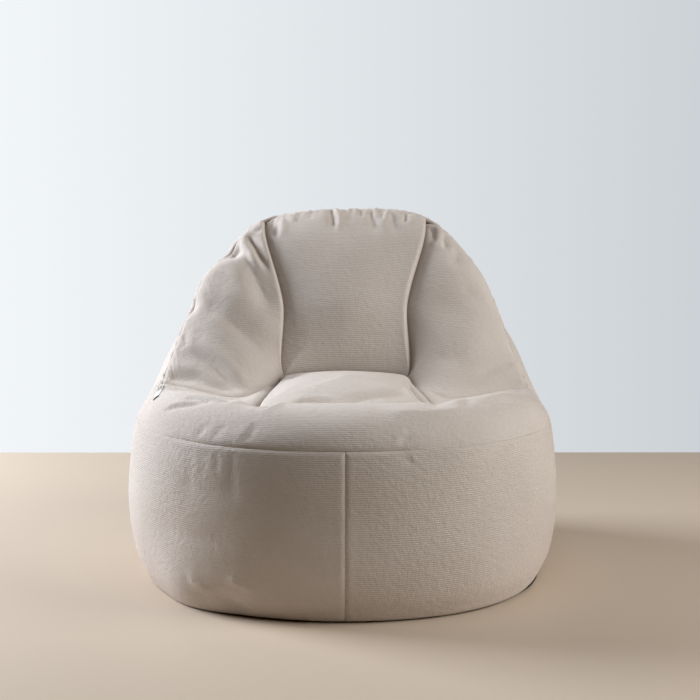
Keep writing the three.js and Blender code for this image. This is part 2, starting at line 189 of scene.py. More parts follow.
def round_rail(half_width, front, back, rise):
    """Places on a superellipse: x and y to this power add up to one, a little squarer than
    an ellipse, with its own reach at the front, the back and the sides."""
    c, s = np.cos(ROUND_ANGLES), np.sin(ROUND_ANGLES)
    r = (abs(c) ** ROUND_POWER + abs(s) ** ROUND_POWER) ** (-1 / ROUND_POWER)
    return np.stack([half_width * s * r, -np.where(c > 0, front, back) * c * r, s * 0 + rise], 1)


# A place is (across, along, rise): across in half widths, along in half depths, and rise 0 at
# the floor, 1 at the lip and 2 at the crown.
RAILS = [
    round_rail(0.925, 0.95, 0.925, 0.006),  # base seam
    round_rail(0.976, 0.99, 0.972, 0.128),
    round_rail(1.004, 1.0, 0.99, 0.4),  # belly
    round_rail(0.967, 0.96, 0.955, 0.82),  # band seam
    [
        (0, -0.913, 0.915),
        (0.474, -0.793, 0.912),
        (0.818, -0.469, 0.912),
        (0.927, 0, 0.918),
        (0.796, 0.528, 1.232),
        (0.44, 0.806, 1.55),
        (0, 0.87, 1.57),
    ],
    [
        (0, -0.826, 0.979),
        (0.427, -0.732, 0.973),
        (0.749, -0.441, 0.976),
        (0.893, -0.019, 0.965),
        (0.735, 0.41, 1.372),
        (0.42, 0.681, 1.838),
        (0, 0.751, 1.868),
    ],
    [
        (0, -0.718, 1),
        (0.389, -0.662, 0.995),
        (0.687, -0.423, 1.003),
        (0.86, -0.03, 0.99),
        (0.742, 0.275, 1.428),
        (0.412, 0.554, 1.942),
        (0, 0.606, 2),
    ],  # crown seam, and the lip at the front
    [
        (0, -0.624, 0.979),
        (0.351, -0.575, 0.973),
        (0.611, -0.376, 0.976),
        (0.775, -0.061, 0.98),
        (0.625, 0.158, 1.385),
        (0.391, 0.423, 1.832),
        (0, 0.441, 1.875),
    ],
    [
        (0, -0.559, 0.944),
        (0.313, -0.521, 0.936),
        (0.502, -0.352, 0.936),
        (0.483, -0.146, 0.931),
        (0.483, 0.056, 1.196),
        (0.299, 0.228, 1.44),
        (0, 0.202, 1.471),
    ],
    [
        (0, -0.521, 0.931),
        (0.261, -0.498, 0.926),
        (0.389, -0.408, 0.92),
        (0.327, -0.042, 0.989),
        (0.308, 0.014, 1.012),
        (0.284, 0.056, 1.03),
        (0, 0.089, 1.049),
    ],  # seat seam
    [
        (0, -0.352, 1.006),
        (0.166, -0.347, 1.003),
        (0.249, -0.293, 0.995),
        (0.199, -0.113, 1.037),
        (0.185, -0.08, 1.043),
        (0.171, -0.059, 1.049),
        (0, -0.047, 1.061),
    ],
    [(0, -0.211, 1.061)] * 7,  # the middle of the seat
]
BASE, BAND, CROWN_RAIL, SEAT_SEAM, SEAT_TOP = 0, 3, 6, 9, 11
SIDE, BACK_INNER, BACK, STATIONS = 3, 5, 6, 12


def placed(rail):
    """A rail's right half in metres, then its mirror image on the way back to the front."""
    across, along, rise = np.array(rail, float).T
    height = np.where(rise < 1, rise * LIP, LIP + (rise - 1) * (CROWN - LIP))
    right = np.stack([across * HALF_WIDTH, along * HALF_DEPTH + SHIFT, height], 1)
    return np.concatenate([right, (right[1:-1] * (-1, 1, 1))[::-1]])


def curve_through(points, at, closed):
    """A centripetal Catmull-Rom curve: a cubic from each point to the next whose slopes come
    from the neighbours, weighted by the square roots of the distances, so that it never
    loops. points is (count, curves, 3), and at is where along it, in points."""
    count = len(points)
    if closed:
        i = np.floor(at).astype(int) % count
        p = [points[(i + k) % count] for k in (-1, 0, 1, 2)]
    else:
        first, last = 2 * points[:1] - points[1:2], 2 * points[-1:] - points[-2:-1]
        padded = np.concatenate([first, points, last])
        i = np.clip(np.floor(at).astype(int), 0, count - 2)
        p = [padded[i + 1 + k] for k in (-1, 0, 1, 2)]
    t = (at - np.floor(at) if closed else at - i)[:, None, None]
    step = [np.sqrt(np.linalg.norm(p[k + 1] - p[k], axis=2, keepdims=True)) for k in range(3)]
    step[1] = np.where(step[1] < 1e-3, 1, step[1])
    step[0] = np.where(step[0] < 1e-3, step[1], step[0])
    step[2] = np.where(step[2] < 1e-3, step[1], step[2])
    leave = (p[1] - p[0]) / step[0] - (p[2] - p[0]) / (step[0] + step[1]) + (p[2] - p[1]) / step[1]
    reach = (p[2] - p[1]) / step[1] - (p[3] - p[1]) / (step[1] + step[2]) + (p[3] - p[2]) / step[2]
    leave, reach = leave * step[1], reach * step[1]
    h = [2 * t**3 - 3 * t**2 + 1, t**3 - 2 * t**2 + t, 3 * t**2 - 2 * t**3, t**3 - t**2]
    return h[0] * p[1] + h[1] * leave + h[2] * p[2] + h[3] * reach


def lofted(stations, rails):
    """The surface's points where these stations cross these rails: rings through each rail's
    twelve places first, then a profile through the rings at each station."""
    rings = np.stack([placed(rail) for rail in RAILS], 1)
    rings = curve_through(rings, stations, True).transpose(1, 0, 2)
    return curve_through(rings, rails, False)


def spread(seams, counts, ease=0.6):
    """Parameters from each seam to the next, closer together near the seams: a mix of even
    steps and the steps of a half turn's cosine."""
    parts = []
    for low, high, count in zip(seams, seams[1:], counts):
        s = np.arange(count) / count
        parts.append(low + (high - low) * ((1 - ease) * s + ease * (1 - np.cos(np.pi * s)) / 2))
    return np.concatenate(parts)


def normals_of(grid):
    """Unit normals of a grid that closes on itself sideways: the cross product of the way to
    the right and the way up. The middle of the seat points straight up."""
    sideways = np.roll(grid, -1, 1) - np.roll(grid, 1, 1)
    upward = np.gradient(grid, axis=0)
    n = np.cross(sideways, upward)
    n[-1] = (0, 0, 1)
    return n / np.maximum(np.linalg.norm(n, axis=2, keepdims=True), 1e-12)


def arc(grid, axis):
    """Lengths along a grid's rows or columns from their first point, in metres."""
    steps = np.linalg.norm(np.diff(grid, axis=axis), axis=2)
    lengths = np.cumsum(steps, axis)
    return np.insert(lengths, 0, 0, axis)


def smooth(t):
    """Rises from 0 to 1 as t does, level at both ends."""
    t = np.clip(t, 0, 1)
    return t * t * (3 - 2 * t)


# The zip's seam is straight between the belly and the shoulder, so that the zip can run.
LEAN = math.asin(-frame["joints"][0]["axis"][1])
zip_low, zip_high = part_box("cover_zip_tape_right")
ZIP_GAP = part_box("cover_zip_slider")[1].x + 0.0015


def zip_line(height):
    """How far back the straight seam is at a height: it leans forward as it rises."""
    return zip_high.y - 0.0005 - (height - zip_low.z) * math.tan(LEAN)


def chair_surface(stations, rails):
    """The lofted surface, eased onto the straight seam near the back's centre line: all the way
    between the belly and the shoulder, and less with the distance from either."""
    grid = lofted(stations, rails)
    near = smooth(1 - abs(stations - BACK) / 0.9)[None, :]
    level = smooth((rails - 1.6) / 0.5) * smooth((4.35 - rails) / 0.45)
    middle = lofted(np.array([float(BACK)]), rails)
    shift = zip_line(middle[:, 0, 2]) - middle[:, 0, 1]
    grid[..., 1] += near * (level * shift)[:, None]
    return grid


FINENESS = 1
SEAM_STATIONS = [0, SIDE, BACK_INNER, BACK, STATIONS - BACK_INNER, STATIONS - SIDE, STATIONS]
SEAM_RAILS = [BASE, BAND, CROWN_RAIL, SEAT_SEAM, SEAT_TOP]
fine_columns = spread(SEAM_STATIONS, [int(n * FINENESS) for n in (150, 96, 48, 48, 96, 150)])
fine_rows = np.append(spread(SEAM_RAILS, [int(n * FINENESS) for n in (84, 90, 84, 44)]), SEAT_TOP)
surface = chair_surface(fine_columns, fine_rows)

# This one chair's own sag: soft swells and dents, as (station, rail, reach, height) in metres.
SAG = [
    (9.3, 2.1, 0.14, 0.006),
    (2.2, 0.8, 0.10, -0.007),
    (2.9, 2.3, 0.16, -0.008),
    (10.6, 0.5, 0.08, 0.012),
    (7.42, 6.35, 0.024, -0.022),
    (7.75, 6.1, 0.05, 0.009),
    (8.6, 6.0, 0.10, -0.008),
    (4.3, 6.2, 0.06, 0.004),
    (3.5, 6.1, 0.13, -0.016),
    (6.65, 6.2, 0.06, -0.007),
    (8.04, 6.1, 0.018, -0.008),
]
outward = normals_of(surface)
for station, rail, reach, height in SAG:
    centre = chair_surface(np.array([station]), np.array([rail]))[0, 0]
    distance = np.linalg.norm(surface - centre, axis=2)
    surface = surface + outward * (height * np.exp(-((distance / reach) ** 2)))[..., None]
outward = normals_of(surface)


# ---- The plush. Cream short-pile velour, woven in fine ribs 3.8 mm apart, over soft wadding.
# Its panels are cut from the surface, each with valleys at its seams and folds of its own.
RIB_PITCH = 0.0038
WAVE_LENGTH = 0.314  # of a wave pattern whose scale is 1
TUCK = 0.007
# TUCK_SHADE is how dark the tucked rows are painted: painted shade under the seams.
TUCK_SHADE = 0.8
SEAM_CALM = 0.022
PLACKET_RISE = 0.0014
OFF_THE_FLOOR = 0.0015


def plush_material(name, pale, deep):
    """Short-pile velour. The ribs and the crushed pile are bumps in the cloth's own metres, and
    the pile's colour shifts a little where it has been stroked another way. Shade is painted
    into its colour, towards dark brown, in the seams' valleys and on the tucked rows."""
    material = bpy.data.materials.new(name)
    material.use_nodes = True
    tree = material.node_tree
    shader = tree.nodes["Principled BSDF"]
    shader.inputs["Roughness"].default_value = 0.92
    shader.inputs["Sheen Weight"].default_value = 0.14
    shader.inputs["Sheen Roughness"].default_value = 0.45
    shader.inputs["Sheen Tint"].default_value = colour("fff6ee")
    shader.inputs["Specular IOR Level"].default_value = 0.15
    cloth = node(tree, "ShaderNodeUVMap", uv_map="cloth")
    ribs = node(
        tree,
        "ShaderNodeTexWave",
        links=[("Vector", cloth, "UV")],
        wave_type="BANDS",
        bands_direction="Y",
        Scale=WAVE_LENGTH / RIB_PITCH,
        Distortion=2.2,
        Detail=3,
        Detail_Scale=6,
    )
    on_cloth = [("Vector", cloth, "UV")]
    crush = node(tree, "ShaderNodeTexNoise", links=on_cloth, Scale=95, Detail=4, Roughness=0.6)
    fibre = node(tree, "ShaderNodeTexNoise", links=on_cloth, Scale=900, Detail=2)
    rib_bump = node(tree, "ShaderNodeBump", links=[("Height", ribs, "Fac")], Strength=0.34, Distance=0.0012)
    crush_bump = node(
        tree,
        "ShaderNodeBump",
        links=[("Height", crush, "Fac"), ("Normal", rib_bump, "Normal")],
        Strength=0.4,
        Distance=0.004,
    )
    fibre_bump = node(
        tree,
        "ShaderNodeBump",
        links=[("Height", fibre, "Fac"), ("Normal", crush_bump, "Normal")],
        Strength=0.5,
        Distance=0.0006,
    )
    tree.links.new(fibre_bump.outputs["Normal"], shader.inputs["Normal"])
    stroked = node(tree, "ShaderNodeTexNoise", links=on_cloth, Scale=7, Detail=3)
    share = node(
        tree, "ShaderNodeMapRange", links=[("Value", stroked, "Fac")], From_Min=0.35, From_Max=0.7
    )
    blend = node(tree, "ShaderNodeMix", links=[("Factor", share, "Result")], data_type="RGBA")
    blend.inputs["A"].default_value = colour(pale)
    blend.inputs["B"].default_value = colour(deep)
    # Painted shade: this attribute darkens the seams' valleys and tucked rows towards dark brown.
    painted_seam_shade = node(tree, "ShaderNodeAttribute", attribute_name="painted_seam_shade")
    dark = node(
        tree,
        "ShaderNodeMix",
        links=[("Factor", painted_seam_shade, "Fac"), ("A", blend, "Result")],
        data_type="RGBA",
    )
    dark.inputs["B"].default_value = colour("6a5848")
    tree.links.new(dark.outputs["Result"], shader.inputs["Base Color"])
    return material


plush = plush_material("cream_plush", "ddd2c8", "d6cabf")


def curve_on(path, count):
    """Points evenly along a smooth line over the surface, through (station, rail) places."""
    places = np.array(path, float)
    at = np.linspace(0, len(places) - 1, count)
    if len(places) == 2:
        lines = places[0] + (places[1] - places[0]) * at[:, None]
    else:
        lines = curve_through(np.insert(places, 2, 0, axis=1)[:, None, :], at, False)[:, 0, :2]
    return np.array([chair_surface(np.array([s]), np.array([r]))[0, 0] for s, r in lines])


def fold(points, normals, path, width, depth, ridge=0.0):
    """The height that a fold adds: a valley with a sharp bottom along a line, fading out to both
    ends, and a soft ridge on the valley's left side (its right side where ridge is negative).
    Which side a point is on, and how far along, is a mean over the line's nearest steps."""
    line = curve_on(path, 25)
    flat = points.reshape(-1, 3)
    near = np.flatnonzero(
        ((flat > line.min(0) - 4 * width) & (flat < line.max(0) + 4 * width)).all(1)
    )
    height = np.zeros(len(flat))
    if len(near) == 0:
        return height.reshape(points.shape[:2])
    distances, sides, shares = [], [], []
    for i, (a, b) in enumerate(zip(line, line[1:])):
        way = b - a
        t = np.clip((flat[near] - a) @ way / (way @ way), 0, 1)
        off = flat[near] - a - t[:, None] * way
        turn = (np.cross(way, off) * normals.reshape(-1, 3)[near]).sum(1)
        distances.append(np.linalg.norm(off, axis=1))
        sides.append(turn / np.maximum(np.linalg.norm(way) * distances[-1], 1e-9))
        shares.append((i + t) / (len(line) - 1))
    distances, best = np.array(distances), np.min(distances, 0)
    weight = np.exp(-(distances**2 - best**2) / (0.5 * width) ** 2)
    weight /= weight.sum(0)
    side, share = (weight * sides).sum(0), (weight * shares).sum(0)
    fade = smooth(share / 0.3) * smooth((1 - share) / 0.3)
    valley = depth * np.exp(-((best / width) ** 1.3))
    hill = abs(ridge) * np.exp(-(((best - 1.5 * width) / width) ** 2))
    hill = hill * smooth(0.5 + side * np.sign(ridge))
    height[near] = fade * (hill - valley)
    return height.reshape(points.shape[:2])


def panel(name, low, high, first, last, seams, folds=(), gathers=(), level=False):
    """One sewn panel, cut from the surface between two rails and two stations. Towards each
    edge it falls into the seam's valley, whose (depth, width, shares of them by station) are
    given for the low, high, first and last edges, and one more row tucks the cloth in under the
    seam. The valleys and the tucked rows carry painted shade in the cloth's colour. Beside the
    zip it stays flat instead, and its edge keeps clear of the slider."""
    count = len(fine_columns)
    r = np.arange(np.abs(fine_rows - low).argmin(), np.abs(fine_rows - high).argmin() + 1)
    start = np.abs(fine_columns - first % STATIONS).argmin()
    length = (np.abs(fine_columns - last % STATIONS).argmin() - start) % count or count
    ring = length == count
    c = (start + np.arange(length + (not ring))) % count
    points, normals = surface[np.ix_(r, c)], outward[np.ix_(r, c)]
    rise, across = arc(points, 0), arc(points, 1)
    to_edge = [rise, rise[-1] - rise, across, across[:, -1:] - across]
    height = np.zeros(points.shape[:2])
    valley = np.zeros(points.shape[:2])
    free = np.ones(points.shape[:2])
    shown = np.ones(points.shape[:2])
    for distance, seam in zip(to_edge, seams):
        if seam:
            depth, width, shares = seam
            if shares:
                where, share = np.transpose(shares)
                share = np.interp(fine_columns[c], where, share, period=STATIONS)
                depth, shown = depth * share, np.minimum(shown, np.where(distance < 1e-9, share, 1))
            valley = np.maximum(valley, depth * np.exp(-((distance / width) ** 1.15)))
            free = free * (0.35 + 0.65 * smooth(distance / SEAM_CALM))
    for path, width, depth, ridge in folds:
        height += fold(points, normals, path, width, depth, ridge) * free
    for edge, depth, reach, pitch, seed in gathers:
        distance = to_edge[edge]
        along = rise if edge > 1 else across
        rng = np.random.default_rng(seed)
        wave = 0
        for k in range(5):
            turns, phase = (0.6 + 0.35 * k) / pitch, rng.uniform(0, 2 * math.pi)
            wave = wave + np.sin(2 * math.pi * turns * along + phase) * rng.uniform(0.4, 1)
        height += depth * 0.45 * wave * np.exp(-distance / reach) * smooth(distance / 0.006)
    height += pillow_height[np.ix_(r, c)] * (free - 0.2) / 0.8
    zipped = BACK in (first, last) and low == BASE
    if zipped:
        up = points[..., 2]
        at_zip = smooth((up - zip_low.z) / 0.008) * smooth((zip_high.z - up) / 0.008)
        near = at_zip * smooth((0.07 - abs(points[..., 0])) / 0.055)
        valley, height = valley * (1 - near), height * (1 - near) + PLACKET_RISE * near
    out = points + normals * (height - valley)[..., None]
    out[..., 2] = np.maximum(out[..., 2], OFF_THE_FLOOR)
    if zipped:
        side = np.sign(points[..., 0].mean())
        out[..., 0] = side * np.maximum(out[..., 0] * side, ZIP_GAP * at_zip * (out[..., 1] > 0))
    # Painted shade in the colour: deeper valleys darken the cloth, and the tucked rows more still.
    painted_seam_shade = 0.6 * np.clip(valley / 0.014, 0, 1) ** 3
    tucked = normals * (TUCK * shown)[..., None]
    dark = TUCK_SHADE * shown
    ends = [(0, 0), (-1, 0), (0, 1), (-1, 1)]
    for (end, axis), seam in zip(ends, seams):
        if seam:
            edge = np.take(out, [end], axis) - np.take(tucked, [end], axis)
            shade = np.take(dark, [end], axis)
            sides = [edge, out] if end == 0 else [out, edge]
            out = np.concatenate(sides, axis)
            painted_seam_shade = np.concatenate([shade, painted_seam_shade] if end == 0 else [painted_seam_shade, shade], axis)
            again = [np.take(tucked, [end], axis), tucked]
            tucked = np.concatenate(again if end == 0 else again[::-1], axis)
            dark = np.concatenate([shade, dark] if end == 0 else [dark, shade], axis)
    return cloth_mesh(name, out, painted_seam_shade, ring, level)


def cloth_mesh(name, grid, painted_seam_shade, ring, level=False):
    """A smooth mesh on a grid, with its cloth's own coordinates in metres: the mean length across
    from the grid's middle, and the length up each column."""
    rows, columns = grid.shape[:2]
    index = np.arange(rows * columns).reshape(rows, columns)
    right = np.roll(index, -1, 1) if ring else index[:, 1:]
    left = index if ring else index[:, :-1]
    faces = np.stack([left[:-1], right[:-1], right[1:], left[1:]], 2).reshape(-1, 4)
    mesh = bpy.data.meshes.new(name)
    mesh.vertices.add(rows * columns)
    mesh.vertices.foreach_set("co", grid.astype(np.float32).ravel())
    mesh.loops.add(len(faces) * 4)
    mesh.loops.foreach_set("vertex_index", faces.astype(np.int32).ravel())
    mesh.polygons.add(len(faces))
    mesh.polygons.foreach_set("loop_start", np.arange(len(faces), dtype=np.int32) * 4)
    mesh.update(calc_edges=True)
    if ring:
        u, v = grid[..., 0], grid[..., 1]
    elif level:
        facing = normals_of(grid)[2:-2, 2:-2].reshape(-1, 3).mean(0)
        sideways = np.cross((0, 0, 1), facing)
        sideways /= np.linalg.norm(sideways)
        u, v = grid @ sideways, grid @ np.cross(facing / np.linalg.norm(facing), sideways)
    else:
        u, v = arc(grid, 1), arc(grid, 0)
        u = u - u[:, columns // 2 : columns // 2 + 1]
    layer = mesh.uv_layers.new(name="cloth")
    uv = np.stack([u.ravel()[faces], v.ravel()[faces]], 2)
    layer.data.foreach_set("uv", uv.astype(np.float32).ravel())
    # Each point's painted shade, which darkens the plush's colour.
    attribute = mesh.attributes.new("painted_seam_shade", "FLOAT", "POINT")
    painted_seam_shade = np.broadcast_to(painted_seam_shade, grid.shape[:2]) if painted_seam_shade.ndim == 2 else np.zeros(rows * columns)
    attribute.data.foreach_set("value", painted_seam_shade.astype(np.float32).ravel())
    mesh.shade_smooth()
    made = bpy.data.objects.new(name, mesh)
    bpy.context.scene.collection.objects.link(made)
    return made


def sew(made, node_name):
    """A padded piece stands for its CAD node and rides on the chair."""
    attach(made, "chair")
    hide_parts(node_name)


# ---- The stuffing's push. The cover is one cloth, held along its seams and blown up from
# inside, with a little more cloth in each panel than its place needs. What it gathers into,
# less its broad swelling, becomes the panels' own soft puckers.
SLACK = 0.045
PUSH = 4.0
FRAMES = 20
MOST = 0.007


def held_seams(stations, rails):
    """Which places of a grid lie on a seam, or on the base."""
    s, r = np.meshgrid(stations % STATIONS, rails)
    front = (s <= SIDE) | (s >= STATIONS - SIDE)

    def on(value, line):
        """Where a value is a line's own number."""
        return abs(value - line) < 1e-6

    level = on(r, BASE) | on(r, SEAT_SEAM) | (on(r, BAND) & front) | (on(r, CROWN_RAIL) & ~front)
    level |= on(r, CROWN_RAIL) & (on(s, SIDE) | on(s, STATIONS - SIDE))
    up = (on(s, 0) & (r <= BAND)) | ((on(s, SIDE) | on(s, STATIONS - SIDE)) & (r <= SEAT_SEAM))
    up |= (on(s, BACK_INNER) | on(s, STATIONS - BACK_INNER)) & (r >= CROWN_RAIL) & (r <= SEAT_SEAM)
    up |= on(s, BACK) & (r <= CROWN_RAIL)
    return level | up


def blown_up(grid, normals, held):
    """Where a cloth of this grid settles, held at some places and blown up from inside."""
    rows, columns = grid.shape[:2]
    start = grid - normals * np.where(held, 0, 0.003)[..., None]
    index = np.arange(rows * columns).reshape(rows, columns)
    right = np.roll(index, -1, 1)
    faces = np.stack([index[:-1], right[:-1], right[1:], index[1:]], 2).reshape(-1, 4).tolist()
    mesh = bpy.data.meshes.new("blown")
    mesh.from_pydata(start.reshape(-1, 3), [], faces + [index[0, ::-1].tolist()])
    cover = bpy.data.objects.new("blown", mesh)
    bpy.context.scene.collection.objects.link(cover)
    pins = cover.vertex_groups.new(name="seams")
    pins.add(np.flatnonzero(held.ravel()).tolist(), 1.0, "REPLACE")
    cloth = cover.modifiers.new("cloth", "CLOTH")
    cloth.settings.quality = 6
    cloth.settings.mass = 0.25
    cloth.settings.tension_stiffness = 25
    cloth.settings.compression_stiffness = 25
    cloth.settings.shear_stiffness = 8
    cloth.settings.bending_stiffness = 0.15
    cloth.settings.air_damping = 4
    cloth.settings.vertex_group_mass = "seams"
    cloth.settings.shrink_min = -SLACK
    cloth.settings.use_pressure = True
    cloth.settings.uniform_pressure_force = PUSH
    cloth.settings.effector_weights.gravity = 0
    cloth.point_cache.frame_start = 1
    cloth.point_cache.frame_end = FRAMES
    for frame_number in range(1, FRAMES + 1):
        bpy.context.scene.frame_set(frame_number)
    settled = cover.evaluated_get(bpy.context.evaluated_depsgraph_get()).data
    result = np.empty(rows * columns * 3, np.float32)
    settled.vertices.foreach_get("co", result)
    bpy.data.objects.remove(cover)
    bpy.data.meshes.remove(mesh)
    bpy.context.scene.frame_set(1)
    return result.reshape(rows, columns, 3).astype(float)


def softened(values, passes):
    """Values on a closed grid, each replaced over and over by the mean of its neighbours."""
    for _ in range(passes):
        padded = np.concatenate([values[:1], values, values[-1:]])
        values = (padded[:-2] + padded[2:] + np.roll(values, 1, 1) + np.roll(values, -1, 1)) / 4
    return values


pillow_height = np.zeros(surface.shape[:2])
stations = spread(SEAM_STATIONS, [54, 40, 18, 18, 40, 54], 0.3)
rails = np.append(spread(SEAM_RAILS, [32, 36, 34, 18], 0.3), SEAT_TOP)
coarse = chair_surface(stations, rails)
normals = normals_of(coarse)
held = held_seams(stations, rails)
held[-1] = False
settled = blown_up(coarse, normals, held)
lift = ((settled - coarse) * normals).sum(2)
lift = lift - 0.85 * softened(lift, 60)
lift = MOST * np.tanh(lift / MOST)
lift = np.concatenate([lift, lift[:, :1]], 1)
column = np.interp(fine_columns, np.append(stations, STATIONS), np.arange(len(stations) + 1))
row = np.interp(fine_rows, rails, np.arange(len(rails)))
before = np.minimum(column.astype(int), lift.shape[1] - 2)
lift = lift[:, before] + (lift[:, before + 1] - lift[:, before]) * (column - before)
below = np.minimum(row.astype(int), lift.shape[0] - 2)
lift = lift[below] + (lift[below + 1] - lift[below]) * (row - below)[:, None]
pillow_height = softened(lift, 6)

# ---- The panels. Nine pieces of plush: two round the front, the lip with both arms, the seat,
# two wings, the back rest, and two round the back with the zip between them. Their folds are
# (places along a line, width, depth, ridge), and their gathers (edge, depth, reach, pitch, seed).
SEAM = (0.0036, 0.0055, None)
FAINT = (0.0028, 0.0045, None)
BAND_SHARES = [
    (9.2, 0.08),
    (10.3, 0.15),
    (10.6, 0.8),
    (11.2, 1),
    (11.9, 1),
    (0.4, 0.9),
    (0.62, 0.12),
    (2.9, 0.08),
]
BAND_SEAM = (0.0034, 0.0045, BAND_SHARES)
TIGHT = (0.012, 0.0032, None)
SHADED = (0.015, 0.024, None)
SEAT_SHARES = [(0, 0.12), (1, 0.2), (2, 0.45), (3, 0.9), (9, 1), (10.4, 1), (11, 0.3)]
DOME_EDGE = (0.015, 0.006, SEAT_SHARES)
DOME_FOOT = (0.015, 0.016, SEAT_SHARES)

front_right_folds = [
    ([(0.43, 2.98), (0.46, 2.9), (0.5, 2.78)], 0.006, 0.0018, 0.001),
]
front_left_folds = [
    ([(10.66, 1.25), (10.78, 0.95), (10.9, 0.75)], 0.009, 0.004, 0.003),
    ([(10.95, 0.95), (11.1, 0.62), (11.22, 0.35)], 0.02, 0.006, 0.0),
    ([(11.08, 1.35), (11.2, 1.2), (11.36, 1.1)], 0.012, -0.004, 0.0),
    ([(10.69, 2.98), (10.72, 2.7), (10.70, 2.3)], 0.009, 0.0008, 0.0),
    ([(10.84, 2.98), (10.86, 2.75), (10.83, 2.45)], 0.008, 0.0008, 0.0),
    ([(10.97, 2.98), (11.0, 2.8), (11.0, 2.6)], 0.005, 0.001, 0.0),
    ([(11.15, 2.98), (11.14, 2.7), (11.17, 2.3)], 0.007, 0.0011, 0.0),
    ([(10.2, 2.0), (10.7, 1.9), (11.3, 1.95)], 0.03, 0.0025, 0.0),
    ([(10.5, 2.5), (10.9, 2.45), (11.3, 2.5)], 0.025, 0.002, 0.0),
]
lip_folds = [
    ([(10.02, 4.06), (10.24, 4.6), (10.5, 5.1)], 0.008, 0.004, 0.003),
    ([(10.1, 5.2), (10.36, 5.35), (10.58, 5.3)], 0.009, 0.005, 0.003),
    ([(10.58, 5.24), (10.66, 6.0), (10.3, 7.0), (9.6, 7.7)], 0.012, 0.004, -0.002),
    ([(9.3, 6.2), (9.35, 6.9), (9.3, 7.4)], 0.014, 0.004, -0.002),
    ([(11.0, 5.2), (11.0, 6.2), (10.9, 7.4), (10.8, 8.6)], 0.024, 0.009, 0.0),
    ([(11.12, 5.0), (11.2, 6.0), (11.1, 7.4), (10.9, 8.9)], 0.01, 0.006, -0.004),
    ([(0.82, 5.0), (1.0, 6.0), (1.2, 7.3), (1.6, 8.9)], 0.018, 0.006, 0.002),
    ([(1.2, 5.08), (1.32, 5.6), (1.5, 6.1)], 0.01, 0.004, 0.002),
    ([(0.35, 5.1), (0.62, 4.95), (1.0, 4.9), (1.3, 5.2)], 0.02, -0.004, 0.0),
    ([(1.52, 5.5), (1.82, 5.4), (2.1, 5.0), (2.4, 4.6)], 0.005, 0.0022, 0.0),
    ([(1.4, 5.1), (1.68, 4.95), (1.9, 4.7), (2.1, 4.4)], 0.005, 0.0022, 0.0),
    ([(1.7, 5.8), (2.0, 5.5), (2.4, 5.1), (2.7, 4.7)], 0.006, 0.0025, 0.0),
    ([(11.2, 3.1), (11.22, 3.7), (11.2, 4.3)], 0.009, 0.002, 0.001),
    ([(10.9, 3.1), (10.92, 3.6), (10.9, 4.0)], 0.007, 0.002, 0.0),
    ([(10.7, 3.05), (10.74, 3.5), (10.7, 3.9)], 0.007, 0.002, 0.0),
    ([(0.42, 3.05), (0.46, 3.4), (0.55, 3.7)], 0.007, 0.0018, 0.001),
]
seat_folds = [
    ([(10.9, 9.3), (11.2, 9.46), (11.6, 9.46), (11.95, 9.3)], 0.01, 0.004, 0.002),
    ([(3.02, 9.25), (2.54, 9.45), (2.22, 9.4), (1.9, 9.15)], 0.014, 0.008, -0.004),
    ([(9.45, 9.1), (9.6, 9.4), (9.85, 9.7)], 0.014, 0.0035, 0.0),
    ([(8.4, 9.2), (8.6, 9.5), (8.9, 9.8)], 0.01, 0.004, 0.0),
    ([(0.3, 9.2), (0.2, 9.5), (12.0, 9.9)], 0.014, 0.004, 0.0),
    ([(5.2, 9.2), (5.1, 9.6), (4.6, 10.2)], 0.016, 0.003, 0.0),
    ([(6.9, 9.2), (7.2, 9.6), (7.8, 10.0)], 0.016, 0.003, 0.0),
]
left_wing_folds = [
    ([(7.24, 6.25), (7.2, 6.75), (7.15, 7.15), (7.08, 7.6)], 0.010, 0.016, -0.010),
    ([(7.3, 6.5), (7.32, 7.0), (7.3, 7.6), (7.24, 8.1)], 0.022, 0.008, -0.004),
    ([(7.9, 6.3), (7.95, 6.9), (7.9, 7.55), (7.78, 8.1), (7.68, 8.6)], 0.03, 0.008, 0.004),
    ([(8.34, 6.3), (8.4, 6.5), (8.46, 6.7)], 0.012, 0.004, 0.002),
    ([(8.46, 6.5), (8.5, 7.2), (8.56, 7.55), (8.7, 7.8), (8.92, 8.1)], 0.015, 0.008, 0.005),
    ([(8.9, 6.3), (8.86, 6.9), (8.82, 7.4)], 0.018, 0.006, 0.003),
    ([(8.72, 7.1), (8.84, 7.5), (8.88, 7.9)], 0.012, 0.004, 0.002),
    ([(7.06, 6.5), (7.04, 6.75)], 0.007, 0.006, 0.003),
    ([(7.62, 6.3), (7.64, 6.9), (7.58, 7.5)], 0.03, 0.004, 0.0),
]
right_wing_folds = [
    ([(4.96, 6.3), (4.9, 6.6), (4.84, 6.95)], 0.010, 0.007, 0.004),
    ([(4.78, 6.3), (4.76, 6.56), (4.68, 6.85)], 0.009, 0.006, -0.004),
    ([(4.62, 6.2), (4.56, 6.6), (4.5, 7.0)], 0.014, 0.004, 0.0),
    ([(4.2, 6.4), (4.25, 7.2), (4.3, 7.9)], 0.03, 0.005, 0.0),
    ([(3.3, 6.6), (3.35, 7.1), (3.3, 7.6)], 0.013, 0.005, 0.002),
    ([(3.7, 7.6), (3.8, 8.1), (4.1, 8.4)], 0.022, 0.004, 0.0),
]
